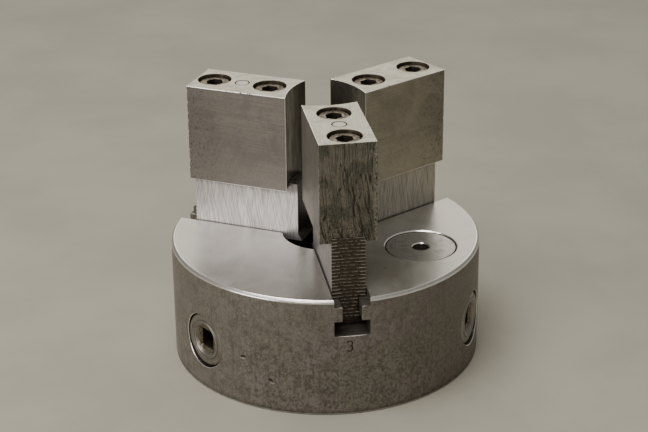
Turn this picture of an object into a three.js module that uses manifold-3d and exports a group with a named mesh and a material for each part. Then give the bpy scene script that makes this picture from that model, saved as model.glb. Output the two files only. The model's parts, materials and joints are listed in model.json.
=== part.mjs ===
// A 160 mm three-jaw self-centring scroll chuck that lies on its back, carrying tall block top jaws.
// A square key turns any of three bevel pinions. They turn the scroll plate, whose spiral thread
// moves three numbered base jaws in or out together along T-slots in the body. Each base jaw
// carries a bolted-on block with a hollow grip face.
//
// Units are millimetres, +Z is up. The origin is on the chuck's axis, on the plane of its back face.
// Jaw 3 points along -Y. Jaws, pinions and what belongs to them are built pointing along +X, in
// groups that are then turned about Z.

import * as THREE from "three";
import { mergeVertices } from "three/addons/utils/BufferGeometryUtils.js";
import Module from "manifold-3d";

const wasm = await Module();
wasm.setup();
const { Manifold, Mesh: SolidMesh } = wasm;

// ---------------------------------------------------------------- driving dimensions

const GAP = 0.3; // between neighbouring pieces
const OVER = 1; // how far a cutter runs past the face it cuts

const BODY_R = 80;
const BODY_H = 63;
const RIM_CHAMFER = 1.6;
const BACK_CHAMFER = 1;
const BORE_R = 22;
const HUB_R = 32;
const CAVITY_R = 58.3;
const CAVITY_TOP = 48.3;

const REGISTER_R = 62.5; // the recess that centres the chuck on its back plate
const REGISTER_DEPTH = 5;
const MOUNT_R = 70; // three M10 holes on a 140 mm circle
const MOUNT_HOLE_R = 4.25;
const MOUNT_HOLE_DEPTH = 22;

const SLOT_W = 17.7;
const NECK_W = 9.6;
const RAIL_TOP = 59.3;
const RAIL_BOTTOM = 51.6;
const SLOT_FLOOR = 43.7;

const COVER_T = 4.7;
const COVER_SEAT = REGISTER_DEPTH + COVER_T + GAP;
const THRUST_RING = { inner: 33, outer: 38, top: 35.7 };
const COVER_SCREW = { count: 6, circle: 27, shank: 2, head: 3.8, cone: 2.2, length: 17, hex: 2.5 };

const SCROLL = { inner: 32.4, outer: 57.9, back: 36, boss: 44, root: 43.6, crest: 48 };
const PITCH = 6; // radial advance of the spiral in one turn
const THREAD_W = 2.6;
const THREAD_START = 34.5;
const THREAD_STEPS = 36; // straight pieces in one turn of the spiral

const GEAR_TEETH = 60;
const PINION_TEETH = 12;
const MODULE = 1.9; // at the reference radius
const GEAR_REF = (GEAR_TEETH * MODULE) / 2; // 57 mm from the axis
const PINION_REF = (PINION_TEETH * MODULE) / 2;
const PRESSURE = (20 * Math.PI) / 180;
const TOOTH_HALF = (Math.PI * MODULE) / 4 - 0.085; // half a tooth at the pitch line, less play
const PINION_ADDENDUM = 2.2;
const GEAR_ADDENDUM = 1.05;
const ROOT_PLAY = 0.4;
const TOOTH_INNER = 45.2;
const TOOTH_OUTER = 57.9;

const PINION_Z = 26.4;
const PINION_R = 14;
const PINION_TIP = 79; // how far its end reaches from the chuck's axis
const PINION_PILOT = { r: 5.5, from: 24.5 };
const PINION_GROOVE = { r: 12, from: 65.5, to: 70.5 };
const KEY_SQUARE = 9.6;
const KEY_DEPTH = 14;
const PINION_SCREW = { at: 68, r: 3, dog: 2, from: 1, shoulder: 11.6, tip: 14, hex: 3 };

const BASE = { w: 16.7, neck: 8.9, foot: 17, inner: 9.8, stepInner: 11.9, outer: 69.8, top: 91.1 };
const FOOT_BOTTOM = 48.4;
const TOOTH_BOTTOM = 44;
const JAW_TOOTH = { thick: 2.6, half: 8.3, outerArc: 34, innerArc: 60, first: 14.5, last: 67.5 };

const BLOCK = { w: 28, bottom: 88.7, top: 139.7, outer: 69.8, grip: 40, hollow: 17.96 };
const BOLT = { inner: 29.5, outer: 60, r: 5, head: 8, headH: 10, sunk: 1.4, length: 54.5, hex: 8 };
const COUNTERBORE_R = 8.5;
const DOWEL = { at: 44.6, r: 3.5, from: 76, blindTop: 115 };

const PLUG = { at: 52.1, r: 18, hole: 4.3, pocket: 57, sunk: 0.4 };

const JAW_ANGLES = [30, 150, -90]; // jaws 1, 2 and 3, in degrees about Z
const PINION_ANGLES = [90, -150, -30];
const PLUG_ANGLE = -30;

// ---------------------------------------------------------------- materials

const steel = (color, roughness, metalness) =>
  new THREE.MeshStandardMaterial({ color, roughness, metalness });
const BODY_STEEL = steel(0x57504a, 0.5, 0.8);
const GROUND_STEEL = steel(0x9b9696, 0.35, 0.9);
const BLOCK_STEEL = steel(0x77716a, 0.45, 0.85);
const PINION_STEEL = steel(0x6c6761, 0.4, 0.85);
const SCREW_STEEL = steel(0x38332d, 0.5, 0.8);
const SCROLL_STEEL = steel(0x6a6560, 0.4, 0.9);

// ---------------------------------------------------------------- solids

const rad = (degrees) => (degrees * Math.PI) / 180;

// A three.js geometry as a manifold solid.
function solidOf(geometry) {
  const bare = new THREE.BufferGeometry();
  const source = geometry.index ? geometry.toNonIndexed() : geometry;
  bare.setAttribute("position", source.getAttribute("position"));
  const merged = mergeVertices(bare, 1e-4);
  const vertProperties = merged.attributes.position.array;
  const triVerts = new Uint32Array(merged.index.array);
  return new Manifold(new SolidMesh({ numProp: 3, vertProperties, triVerts }));
}

// A manifold solid as a named three.js mesh.
function meshOf(name, solid, material) {
  const { vertProperties, triVerts } = solid.getMesh();
  const geometry = new THREE.BufferGeometry();
  geometry.setAttribute("position", new THREE.BufferAttribute(vertProperties, 3));
  geometry.setIndex(new THREE.BufferAttribute(triVerts, 1));
  geometry.computeVertexNormals();
  const mesh = new THREE.Mesh(geometry, material);
  mesh.name = name;
  return mesh;
}

const shapeOf = (points) => new THREE.Shape(points.map(([x, y]) => new THREE.Vector2(x, y)));

// An outline in the XY plane, raised from z0 to z1.
function prism(points, z0, z1) {
  const raised = new THREE.ExtrudeGeometry(shapeOf(points), { depth: z1 - z0, bevelEnabled: false });
  return solidOf(raised.translate(0, 0, z0));
}

// An outline in the YZ plane, run along X from x0 to x1, as a geometry.
function runAlongX(points, x0, x1) {
  const run = new THREE.ExtrudeGeometry(shapeOf(points), { depth: x1 - x0, bevelEnabled: false });
  const [x, y, z] = [0, 1, 2].map((axis) => new THREE.Vector3().setComponent(axis, 1));
  return run.applyMatrix4(new THREE.Matrix4().makeBasis(y, z, x)).translate(x0, 0, 0);
}

const beam = (points, x0, x1) => solidOf(runAlongX(points, x0, x1));

function block(x0, x1, y0, y1, z0, z1) {
  const made = new THREE.BoxGeometry(x1 - x0, y1 - y0, z1 - z0);
  return solidOf(made.translate((x0 + x1) / 2, (y0 + y1) / 2, (z0 + z1) / 2));
}

// A turned solid about Z. The profile is [radius, z] points and runs clockwise, seen with the
// radius to the right and z up: it starts at the inner or axis side's bottom.
function turned(profile, segments) {
  const onAxis = profile[0][0] === 0;
  const closed = onAxis ? [...profile.slice(1), profile[0]] : [...profile, profile[0]];
  const points = closed.reverse().map(([r, z]) => new THREE.Vector2(r, z));
  return solidOf(new THREE.LatheGeometry(points, segments).rotateX(Math.PI / 2));
}

// An upright round bar at (x, y).
function post(r, z0, z1, segments, x = 0, y = 0) {
  const made = new THREE.CylinderGeometry(r, r, z1 - z0, segments).rotateX(Math.PI / 2);
  return solidOf(made.translate(x, y, (z0 + z1) / 2));
}

// A round bar along X, at height z.
function bar(r, x0, x1, z, segments) {
  const made = new THREE.CylinderGeometry(r, r, x1 - x0, segments).rotateZ(-Math.PI / 2);
  return solidOf(made.translate((x0 + x1) / 2, 0, z));
}

// An upright hexagonal bar, measured across its flats.
const hexPost = (flats, z0, z1) => post(flats / Math.sqrt(3), z0, z1, 6);

// A copy of the solid at each angle about Z, joined.
const spread = (solid, angles) => Manifold.union(angles.map((a) => solid.rotate([0, 0, a])));

// Shrinks a run along X towards the origin, as the teeth of a bevel gear shrink to its apex.
function taper(geometry) {
  const p = geometry.getAttribute("position");
  for (let i = 0; i < p.count; i += 1) {
    const scale = p.getX(i) / GEAR_REF;
    p.setXYZ(i, p.getX(i), p.getY(i) * scale, p.getZ(i) * scale);
  }
  return geometry;
}

// ---------------------------------------------------------------- body and what is fixed to it

const ringAngles = (count, start) => Array.from({ length: count }, (_, i) => start + (360 / count) * i);
const COVER_SCREW_ANGLES = ringAngles(COVER_SCREW.count, 0);

function jawSlot() {
  const [wide, neck, top] = [SLOT_W / 2, NECK_W / 2, BODY_H + OVER];
  const half = [[wide, SLOT_FLOOR], [wide, RAIL_BOTTOM], [neck, RAIL_BOTTOM], [neck, RAIL_TOP],
    [wide, RAIL_TOP], [wide, top]];
  const mirrored = half.map(([y, z]) => [-y, z]).reverse();
  return beam([...half, ...mirrored], 0, BODY_R + OVER);
}

function bodySolid() {
  const blank = turned([
    [BORE_R, COVER_SEAT], [BORE_R, BODY_H], [BODY_R - RIM_CHAMFER, BODY_H],
    [BODY_R, BODY_H - RIM_CHAMFER], [BODY_R, BACK_CHAMFER], [BODY_R - BACK_CHAMFER, 0],
    [REGISTER_R, 0], [REGISTER_R, COVER_SEAT], [CAVITY_R, COVER_SEAT], [CAVITY_R, CAVITY_TOP],
    [HUB_R, CAVITY_TOP], [HUB_R, COVER_SEAT],
  ], 60);
  const pinionBore = bar(PINION_R + GAP, CAVITY_R - 4, BODY_R + OVER, PINION_Z, 32);
  const pilotBore = bar(PINION_PILOT.r + GAP, PINION_PILOT.from - GAP, HUB_R + OVER, PINION_Z, 16);
  const screwHole = post(PINION_SCREW.r + GAP, -OVER, PINION_SCREW.tip, 12, PINION_SCREW.at);
  const mountHole = post(MOUNT_HOLE_R, -OVER, MOUNT_HOLE_DEPTH, 16, MOUNT_R);
  const coverHole = post(COVER_SCREW.shank + GAP, COVER_SEAT - OVER,
    REGISTER_DEPTH + COVER_SCREW.length + OVER, 12, COVER_SCREW.circle);
  const pocket = post(PLUG.r + GAP, PLUG.pocket, BODY_H + OVER, 36, PLUG.at);
  return blank
    .subtract(spread(jawSlot(), JAW_ANGLES))
    .subtract(spread(Manifold.union([pinionBore, pilotBore, screwHole]), PINION_ANGLES))
    .subtract(spread(mountHole, JAW_ANGLES))
    .subtract(spread(coverHole, COVER_SCREW_ANGLES))
    .subtract(spread(pocket, [PLUG_ANGLE]));
}

// The back plate, with a ring that stands up behind the scroll and is notched for the pinions.
function rearCoverSolid() {
  const top = REGISTER_DEPTH + COVER_T;
  const inner = BORE_R + GAP;
  const blank = turned([
    [inner, REGISTER_DEPTH], [inner, top], [THRUST_RING.inner, top],
    [THRUST_RING.inner, THRUST_RING.top], [THRUST_RING.outer, THRUST_RING.top],
    [THRUST_RING.outer, top], [REGISTER_R - GAP, top], [REGISTER_R - GAP, REGISTER_DEPTH],
  ], 48);
  const notchR = PINION_PILOT.r + 2 * GAP;
  const [x0, x1] = [THRUST_RING.inner - OVER, THRUST_RING.outer + OVER];
  const notch = bar(notchR, x0, x1, PINION_Z, 16)
    .add(block(x0, x1, -notchR, notchR, PINION_Z, THRUST_RING.top + OVER));
  const { shank, head, cone, circle } = COVER_SCREW;
  const sink = turned([
    [0, REGISTER_DEPTH - OVER], [0, top + OVER], [shank + GAP, top + OVER],
    [shank + GAP, REGISTER_DEPTH + cone + GAP], [head + GAP, REGISTER_DEPTH + GAP],
    [head + GAP, REGISTER_DEPTH - OVER],
  ], 12).translate([circle, 0, 0]);
  return blank.subtract(spread(notch, PINION_ANGLES)).subtract(spread(sink, COVER_SCREW_ANGLES));
}

function coverScrewSolid() {
  const { shank, head, cone, length, hex } = COVER_SCREW;
  const face = REGISTER_DEPTH + 0.1;
  return turned([
    [0, face], [0, face + length], [shank, face + length], [shank, face + cone], [head, face + 0.2],
    [head, face],
  ], 12).subtract(hexPost(hex, face - OVER, face + 1.4));
}

// A dog-point screw from the back that sits in the pinion's groove and keeps the pinion in.
function pinionScrewSolid() {
  const { r, dog, from, shoulder, tip, hex } = PINION_SCREW;
  return turned([[0, from], [0, tip], [dog, tip], [dog, shoulder + 0.6], [r, shoulder], [r, from]], 12)
    .subtract(hexPost(hex, from - OVER, from + 3));
}

function facePlugSolid() {
  const [bottom, top] = [PLUG.pocket + GAP, BODY_H - PLUG.sunk];
  return turned([[PLUG.hole, bottom], [PLUG.hole, top], [PLUG.r, top], [PLUG.r, bottom]], 36);
}

// ---------------------------------------------------------------- scroll plate

// The spiral ridge: its middle is at THREAD_START + PITCH * turns, counted from +X.
function scrollThread() {
  const turns = (SCROLL.outer + THREAD_W - THREAD_START) / PITCH;
  const count = Math.ceil(turns * THREAD_STEPS);
  const along = (side) => Array.from({ length: count + 1 }, (_, i) => {
    const turn = i / THREAD_STEPS;
    const r = THREAD_START + PITCH * turn + side * (THREAD_W / 2);
    return [r * Math.cos(2 * Math.PI * turn), r * Math.sin(2 * Math.PI * turn)];
  });
  const strip = prism([...along(1), ...along(-1).reverse()], SCROLL.root - OVER, SCROLL.crest);
  return strip.intersect(post(SCROLL.outer, SCROLL.root - OVER, SCROLL.crest, 60));
}

// Straight-sided bevel teeth on the plate's back, all pointing at the apex on the axis.
function gearTeeth() {
  const tip = PINION_REF - GEAR_ADDENDUM;
  const buried = PINION_REF + PINION_ADDENDUM + ROOT_PLAY + 0.6;
  const half = (z) => TOOTH_HALF + (z - PINION_REF) * Math.tan(PRESSURE);
  const outline = [[-half(tip), tip], [half(tip), tip], [half(buried), buried], [-half(buried), buried]];
  const tooth = solidOf(taper(runAlongX(outline, TOOTH_INNER - 0.2, TOOTH_OUTER)));
  return spread(tooth.translate([0, 0, PINION_Z]), ringAngles(GEAR_TEETH, 0));
}

function scrollSolid() {
  const rootAt = (r) => PINION_Z + ((PINION_REF + PINION_ADDENDUM + ROOT_PLAY) * r) / GEAR_REF;
  const plate = turned([
    [SCROLL.inner, SCROLL.back], [SCROLL.inner, SCROLL.root], [SCROLL.outer, SCROLL.root],
    [SCROLL.outer, rootAt(SCROLL.outer)], [SCROLL.boss, rootAt(SCROLL.boss)],
    [SCROLL.boss, SCROLL.back],
  ], 60);
  return Manifold.union([plate, scrollThread(), gearTeeth()]);
}

// ---------------------------------------------------------------- pinions

// The pinion's toothed outline at the reference radius: involute flanks over radial roots.
function pinionOutline() {
  const baseR = PINION_REF * Math.cos(PRESSURE);
  const rootR = PINION_REF - GEAR_ADDENDUM - ROOT_PLAY;
  const tipR = PINION_REF + PINION_ADDENDUM;
  const involute = (r) => Math.tan(Math.acos(baseR / r)) - Math.acos(baseR / r);
  const halfAngle = (r) => TOOTH_HALF / PINION_REF + involute(PINION_REF) - involute(r);
  const flank = [0, 1, 2, 3].map((i) => {
    const r = baseR + ((tipR - baseR) * i) / 3;
    return [r, halfAngle(r)];
  });
  const side = [[rootR, halfAngle(baseR)], ...flank];
  const points = [];
  for (let i = 0; i < PINION_TEETH; i += 1) {
    const middle = ((i + 0.5) * 2 * Math.PI) / PINION_TEETH;
    const rising = side.map(([r, a]) => [r, middle - a]);
    const falling = side.map(([r, a]) => [r, middle + a]).reverse();
    for (const [r, a] of [...rising, ...falling]) points.push([r * Math.cos(a), r * Math.sin(a)]);
  }
  return points;
}

// Built about X, with x measured from the chuck's axis.
function pinionSolid() {
  const { r: pilotR, from } = PINION_PILOT;
  const shoulder = CAVITY_R + GAP;
  const flatR = 10.4; // the flat ring round the key's mouth
  const mouthR = 8.6;
  const edge = PINION_TIP - 1.2;
  const shaft = turned([
    [0, from], [0, PINION_TIP], [flatR, PINION_TIP], [PINION_R, edge], [PINION_R, PINION_GROOVE.to],
    [PINION_GROOVE.r, PINION_GROOVE.to], [PINION_GROOVE.r, PINION_GROOVE.from],
    [PINION_R, PINION_GROOVE.from], [PINION_R, shoulder], [9.5, shoulder], [9.5, TOOTH_OUTER - OVER],
    [pilotR, TOOTH_INNER], [pilotR, from + 0.5], [pilotR - 0.5, from],
  ], 32);
  const mouth = turned([
    [0, PINION_TIP - 1.8], [0, PINION_TIP + OVER], [mouthR + OVER, PINION_TIP + OVER],
    [mouthR, PINION_TIP], [6.9, PINION_TIP - 1.8],
  ], 24);
  const h = KEY_SQUARE / 2;
  const socket = block(-h, h, -h, h, PINION_TIP - KEY_DEPTH, PINION_TIP + OVER);
  const gear = solidOf(taper(runAlongX(pinionOutline(), TOOTH_INNER, TOOTH_OUTER)));
  return shaft.subtract(mouth).subtract(socket).rotate([0, 90, 0]).add(gear);
}

// ---------------------------------------------------------------- jaws

// Teeth under a base jaw. They lie in the spiral's groove where it crosses the slot, so their
// places differ from jaw to jaw by a third of the pitch.
function jawTeeth(angle) {
  const { thick, half, outerArc, innerArc, first, last } = JAW_TOOTH;
  const groove = THREAD_START + PITCH / 2 + (PITCH * angle) / 360;
  const lean = PITCH / (2 * Math.PI) / ((SCROLL.inner + SCROLL.outer) / 2);
  const ys = Array.from({ length: 7 }, (_, i) => -half + (i * half) / 3);
  const face = (offset, arc) => ys.map((y) => [offset - (arc - Math.sqrt(arc ** 2 - y ** 2)) + lean * y, y]);
  const outline = [...face(thick / 2, outerArc), ...face(-thick / 2, innerArc).reverse()];
  const tooth = prism(outline, TOOTH_BOTTOM, FOOT_BOTTOM + 0.4);
  const teeth = [];
  const start = groove + PITCH * Math.ceil((first - groove) / PITCH);
  for (let x = start; x <= last; x += PITCH) teeth.push(tooth.translate([x, 0, 0]));
  return Manifold.union(teeth);
}

function baseJawSolid(angle) {
  const [wide, neck, foot] = [BASE.w / 2, BASE.neck / 2, BASE.foot / 2];
  const half = [[foot, FOOT_BOTTOM], [foot, RAIL_BOTTOM - GAP], [neck, RAIL_BOTTOM - GAP],
    [neck, RAIL_TOP + GAP], [wide, RAIL_TOP + GAP], [wide, BASE.top]];
  const section = [...half, ...half.map(([y, z]) => [-y, z]).reverse()];
  const face = BODY_H + GAP;
  const step = [[BASE.inner - OVER, BASE.top + OVER], [BASE.inner - OVER, RAIL_TOP + GAP],
    [BASE.inner, RAIL_TOP + GAP], [BASE.stepInner, face], [BASE.stepInner, BASE.top + OVER]];
  // The step is drawn in XZ, so it is run along X and then turned to run along Y.
  const stepCut = beam(step, -wide - OVER, wide + OVER).rotate([0, 0, -90]);
  const bottom = BLOCK.top - BOLT.sunk - BOLT.headH - BOLT.length - 2;
  const boltHole = (x) => post(BOLT.r + GAP, bottom, BASE.top + OVER, 20, x);
  const dowelHole = post(DOWEL.r + GAP, DOWEL.from - GAP, BASE.top + OVER, 20, DOWEL.at);
  return beam(section, BASE.inner, BASE.outer)
    .subtract(stepCut)
    .add(jawTeeth(angle))
    .subtract(Manifold.union([boltHole(BOLT.inner), boltHole(BOLT.outer), dowelHole]));
}

// The bolt-on block. Its underside straddles the base jaw and its inner end is bored hollow.
function topJawSolid(dowelTop) {
  const half = BLOCK.w / 2;
  const blank = block(BASE.stepInner, BLOCK.outer, -half, half, BLOCK.bottom, BLOCK.top);
  const hollow = post(BLOCK.grip, BLOCK.bottom - OVER, BLOCK.top + OVER, 96, BLOCK.hollow - BLOCK.grip);
  const straddle = BASE.w / 2 + GAP;
  const groove = block(0, BLOCK.outer + OVER, -straddle, straddle, BLOCK.bottom - OVER, BASE.top + GAP);
  const seat = BLOCK.top - BOLT.sunk - BOLT.headH - GAP;
  const boltHole = (x) => post(BOLT.r + 0.5, BLOCK.bottom - OVER, BLOCK.top, 20, x)
    .add(post(COUNTERBORE_R, seat, BLOCK.top + OVER, 28, x));
  const dowelHole = post(DOWEL.r + GAP, BLOCK.bottom - OVER, dowelTop, 20, DOWEL.at);
  return blank.subtract(
    Manifold.union([hollow, groove, boltHole(BOLT.inner), boltHole(BOLT.outer), dowelHole]));
}

// An M10 socket head screw, about its own axis, at its height in the chuck.
function jawScrewSolid() {
  const top = BLOCK.top - BOLT.sunk;
  const under = top - BOLT.headH;
  return turned([
    [0, under - BOLT.length], [0, top], [BOLT.head - 0.8, top], [BOLT.head, top - 0.8],
    [BOLT.head, under], [BOLT.r, under], [BOLT.r, under - BOLT.length + 1],
    [BOLT.r - 1, under - BOLT.length],
  ], 20).subtract(hexPost(BOLT.hex, top - 5, top + OVER));
}

function jawGroup(number) {
  const angle = JAW_ANGLES[number - 1];
  const blind = number === 1; // this jaw's dowel stops inside its block
  const dowelTop = blind ? DOWEL.blindTop : BLOCK.top - 0.1;
  const group = new THREE.Group();
  group.rotation.z = rad(angle);
  group.add(meshOf(`base_jaw_${number}`, baseJawSolid(angle), GROUND_STEEL));
  group.add(meshOf(`top_jaw_${number}`, topJawSolid(blind ? dowelTop + GAP : BLOCK.top + OVER), BLOCK_STEEL));
  for (const place of ["inner", "outer"]) {
    const screw = meshOf(`jaw_screw_${number}_${place}`, jawScrewSolid(), SCREW_STEEL);
    screw.position.x = BOLT[place];
    group.add(screw);
  }
  const dowel = meshOf(`jaw_dowel_${number}`, post(DOWEL.r, DOWEL.from, dowelTop, 20), GROUND_STEEL);
  dowel.position.x = DOWEL.at;
  group.add(dowel);
  return group;
}

// ---------------------------------------------------------------- assembly

// A mesh moved out from the axis and turned to an angle about it.
function place(mesh, radius, angle, z = 0) {
  const group = new THREE.Group();
  group.rotation.z = rad(angle);
  mesh.position.set(radius, 0, z);
  group.add(mesh);
  return group;
}

const chuck = new THREE.Group();
chuck.name = "three_jaw_chuck";
chuck.add(meshOf("body", bodySolid(), BODY_STEEL));
chuck.add(meshOf("scroll_plate", scrollSolid(), SCROLL_STEEL));
chuck.add(meshOf("rear_cover", rearCoverSolid(), PINION_STEEL));
chuck.add(place(meshOf("face_plug", facePlugSolid(), GROUND_STEEL), PLUG.at, PLUG_ANGLE));
COVER_SCREW_ANGLES.forEach((angle, i) => {
  const screw = meshOf(`cover_screw_${i + 1}`, coverScrewSolid(), SCREW_STEEL);
  chuck.add(place(screw, COVER_SCREW.circle, angle));
});
PINION_ANGLES.forEach((angle, i) => {
  chuck.add(place(meshOf(`pinion_${i + 1}`, pinionSolid(), PINION_STEEL), 0, angle, PINION_Z));
  const screw = meshOf(`pinion_screw_${i + 1}`, pinionScrewSolid(), SCREW_STEEL);
  chuck.add(place(screw, PINION_SCREW.at, angle));
});
for (const number of [1, 2, 3]) chuck.add(jawGroup(number));

export default chuck;
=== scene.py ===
"""A three-jaw scroll chuck with block top jaws: its finish, its fine shape and its studio.

Shapes are made in millimetres. A piece of a jaw or a pinion is made pointing along +X and then
turned to its angle, so that its material runs the same way on all three.
"""
import json
import math
import random

import bmesh
import bpy
from mathutils import Matrix, Vector, noise


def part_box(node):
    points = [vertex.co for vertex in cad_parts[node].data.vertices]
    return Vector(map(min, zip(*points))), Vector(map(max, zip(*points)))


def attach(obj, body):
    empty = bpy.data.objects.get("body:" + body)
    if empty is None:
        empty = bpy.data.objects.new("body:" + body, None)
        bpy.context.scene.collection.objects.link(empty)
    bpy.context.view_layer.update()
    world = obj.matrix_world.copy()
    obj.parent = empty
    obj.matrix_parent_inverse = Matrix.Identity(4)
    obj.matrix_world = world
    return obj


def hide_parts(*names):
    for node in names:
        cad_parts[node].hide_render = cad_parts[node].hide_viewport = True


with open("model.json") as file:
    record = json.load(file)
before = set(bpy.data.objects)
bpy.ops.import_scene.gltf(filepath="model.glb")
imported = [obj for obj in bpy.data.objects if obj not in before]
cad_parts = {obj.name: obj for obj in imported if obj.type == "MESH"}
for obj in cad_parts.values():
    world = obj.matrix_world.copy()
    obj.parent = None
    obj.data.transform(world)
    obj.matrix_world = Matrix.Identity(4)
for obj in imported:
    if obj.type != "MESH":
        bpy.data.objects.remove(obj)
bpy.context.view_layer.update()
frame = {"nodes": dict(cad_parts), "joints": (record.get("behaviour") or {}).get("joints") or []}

MM = 0.001
TAU = 2 * math.pi

# ---------------------------------------------------------------- places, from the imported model


def box_mm(node):
    low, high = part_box(node)
    return low / MM, high / MM


def joint(name):
    return next(j for j in frame["joints"] if j["name"] == name)


def angle_of(joint_name):
    """The direction of a joint's axis about Z, in radians."""
    x, y, _ = joint(joint_name)["axis"]
    return math.atan2(y, x)


JAWS = {n: angle_of(f"jaw_{n}_slide") for n in (1, 2, 3)}
PINIONS = {n: angle_of(f"pinion_{n}_spin") for n in (1, 2, 3)}
PINION_Z = joint("pinion_1_spin")["pos_m"][2] / MM
BODY_R = box_mm("body")[1].x
BODY_H = box_mm("body")[1].z
JAW_LOW, JAW_HIGH = box_mm("base_jaw_3")  # this jaw points along -Y
BLOCK_LOW, BLOCK_HIGH = box_mm("top_jaw_3")
JAW_END = -JAW_LOW.y
JAW_TOP = JAW_HIGH.z
JAW_HALF = 8.35
BLOCK_END = -BLOCK_LOW.y
BLOCK_HALF = BLOCK_HIGH.x
BLOCK_TOP = BLOCK_HIGH.z
BLOCK_BOTTOM = BLOCK_LOW.z

# ---------------------------------------------------------------- dimensions that follow the CAD

BORE_R = 22
HUB_R = 32
CAVITY_R = 58.3
CAVITY_TOP = 48.3
REGISTER_R = 62.5
COVER_SEAT = 10
SLOT_HALF = 8.85
NECK_HALF = 4.8
RAIL_TOP = 59.3
RAIL_BOTTOM = 51.6
SLOT_FLOOR = 43.7
PINION_BORE_R = 14.3
PILOT_BORE_R = 5.8
SCREW_PLACES = {"inner": 29.5, "outer": 60}
DOWEL_PLACE = 44.6
COUNTERBORE_R = 8.5
GRIP_R = 40
GRIP_REACH = 17.96  # from the axis to the middle of the hollow
BLOCK_INNER = 11.9
SCREW_R, SCREW_HEAD_R, SCREW_HEAD_H = 5, 8, 10
HEXAGON, HEXAGON_DEPTH = 8, 5
DOWEL_R = 3.5
PLUG_HOLE_R = 4.3
KEY_SQUARE = 10
PINION_HEAD_IN = 58.9  # the finer head takes over outside this
NOTCH_R = 6.1
MOUNT_CIRCLE = 70
PINION_SCREW_CIRCLE = 68
COVER_SCREW_CIRCLE = 27
COVER_SCREW_ANGLES = [math.radians(60 * i) for i in range(6)]
RIB_PITCH = 1.82
SAW_LEAN = 4.6  # how far the saw marks have moved to the side at a block's foot
PLAY = 0.3  # the gap between pieces that fit together

# ---------------------------------------------------------------- meshes


def place(name, data):
    """A new object in the scene."""
    obj = bpy.data.objects.new(name, data)
    bpy.context.scene.collection.objects.link(obj)
    return obj


def make(name, verts, faces, marks=None, materials=()):
    """An object from points in millimetres. marks gives each face's place in materials."""
    bm = bmesh.new()
    points = [bm.verts.new(v) for v in verts]
    for i, f in enumerate(faces):
        face = bm.faces.new([points[k] for k in f])
        face.material_index = marks[i] if marks else 0
    bmesh.ops.recalc_face_normals(bm, faces=bm.faces)
    mesh = bpy.data.meshes.new(name)
    bm.to_mesh(mesh)
    bm.free()
    for material in materials:
        mesh.materials.append(material)
    return place(name, mesh)


def lathe(name, profile, segments, marks=None, materials=()):
    """A turned solid about Z. The profile of (radius, z) closes on itself or on the axis."""
    verts, rings = [], []
    for r, z in profile:
        if r < 1e-6:
            rings.append([len(verts)])
            verts.append((0, 0, z))
            continue
        rings.append(list(range(len(verts), len(verts) + segments)))
        verts += [(r * math.cos(TAU * i / segments), r * math.sin(TAU * i / segments), z)
                  for i in range(segments)]
    faces, face_marks = [], []
    for k, ring in enumerate(rings):
        other = rings[(k + 1) % len(rings)]
        if len(ring) == 1 and len(other) == 1:
            continue
        for i in range(segments):
            j = (i + 1) % segments
            if len(ring) == 1:
                faces.append((ring[0], other[i], other[j]))
            elif len(other) == 1:
                faces.append((ring[i], other[0], ring[j]))
            else:
                faces.append((ring[i], other[i], other[j], ring[j]))
            face_marks.append(marks[k] if marks else 0)
    return make(name, verts, faces, face_marks, materials)


def loft(name, rings, material):
    """A closed solid through rings of points, each with the same number of points."""
    count = len(rings[0])
    verts = [p for ring in rings for p in ring]
    faces = [tuple(range(count)), tuple(range(len(verts) - count, len(verts)))]
    for k in range(len(rings) - 1):
        for i in range(count):
            j = (i + 1) % count
            a, b = k * count, (k + 1) * count
            faces.append((a + i, a + j, b + j, b + i))
    return make(name, verts, faces, None, (material,))


def cuboid(name, low, high, material):
    (x0, y0, z0), (x1, y1, z1) = low, high
    ring = [(x0, y0), (x1, y0), (x1, y1), (x0, y1)]
    return loft(name, [[(x, y, z) for x, y in ring] for z in (z0, z1)], material)


def circle(r, segments, x=0.0, y=0.0):
    return [(x + r * math.cos(TAU * i / segments), y + r * math.sin(TAU * i / segments))
            for i in range(segments)]


def round_cut(name, steps, segments, material, x=0.0, y=0.0):
    """An upright round cutter through steps of (radius, z)."""
    rings = [[(px, py, z) for px, py in circle(r, segments, x, y)] for r, z in steps]
    return loft(name, rings, material)


def turn(obj, angle, axis="Z"):
    obj.data.transform(Matrix.Rotation(angle, 4, axis))
    return obj


def shift(obj, x=0.0, y=0.0, z=0.0):
    obj.data.transform(Matrix.Translation((x, y, z)))
    return obj


def bake(obj):
    """Puts the object's modifiers into its mesh."""
    graph = bpy.context.evaluated_depsgraph_get()
    mesh = bpy.data.meshes.new_from_object(obj.evaluated_get(graph))
    obj.modifiers.clear()
    old = obj.data
    obj.data = mesh
    bpy.data.meshes.remove(old)


def combine(obj, others, operation="DIFFERENCE"):
    """Cuts solids out of obj, or adds them to it. The others are used up."""
    for other in others:
        modifier = obj.modifiers.new("combine", "BOOLEAN")
        modifier.operation = operation
        modifier.solver = "MANIFOLD"
        modifier.material_mode = "TRANSFER"
        modifier.object = other
        bake(obj)
        bpy.data.objects.remove(other)


def bevel(obj, width, steps, wanted, mark=-1):
    """Rounds the sharp edges for which wanted(edge) is true."""
    bm = bmesh.new()
    bm.from_mesh(obj.data)
    bmesh.ops.dissolve_limit(bm, angle_limit=math.radians(1), verts=bm.verts, edges=bm.edges)
    edges = [e for e in bm.edges
             if len(e.link_faces) == 2 and e.calc_face_angle() > math.radians(35) and wanted(e)]
    bmesh.ops.bevel(bm, geom=edges, offset=width, offset_type="OFFSET", segments=steps,
                    profile=0.5, affect="EDGES", clamp_overlap=True, material=mark)
    bm.to_mesh(obj.data)
    bm.free()


def paint(obj, rule):
    """Gives each face the material index that rule(centre, normal, index) returns."""
    for polygon in obj.data.polygons:
        polygon.material_index = rule(polygon.center, polygon.normal, polygon.material_index)


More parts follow.
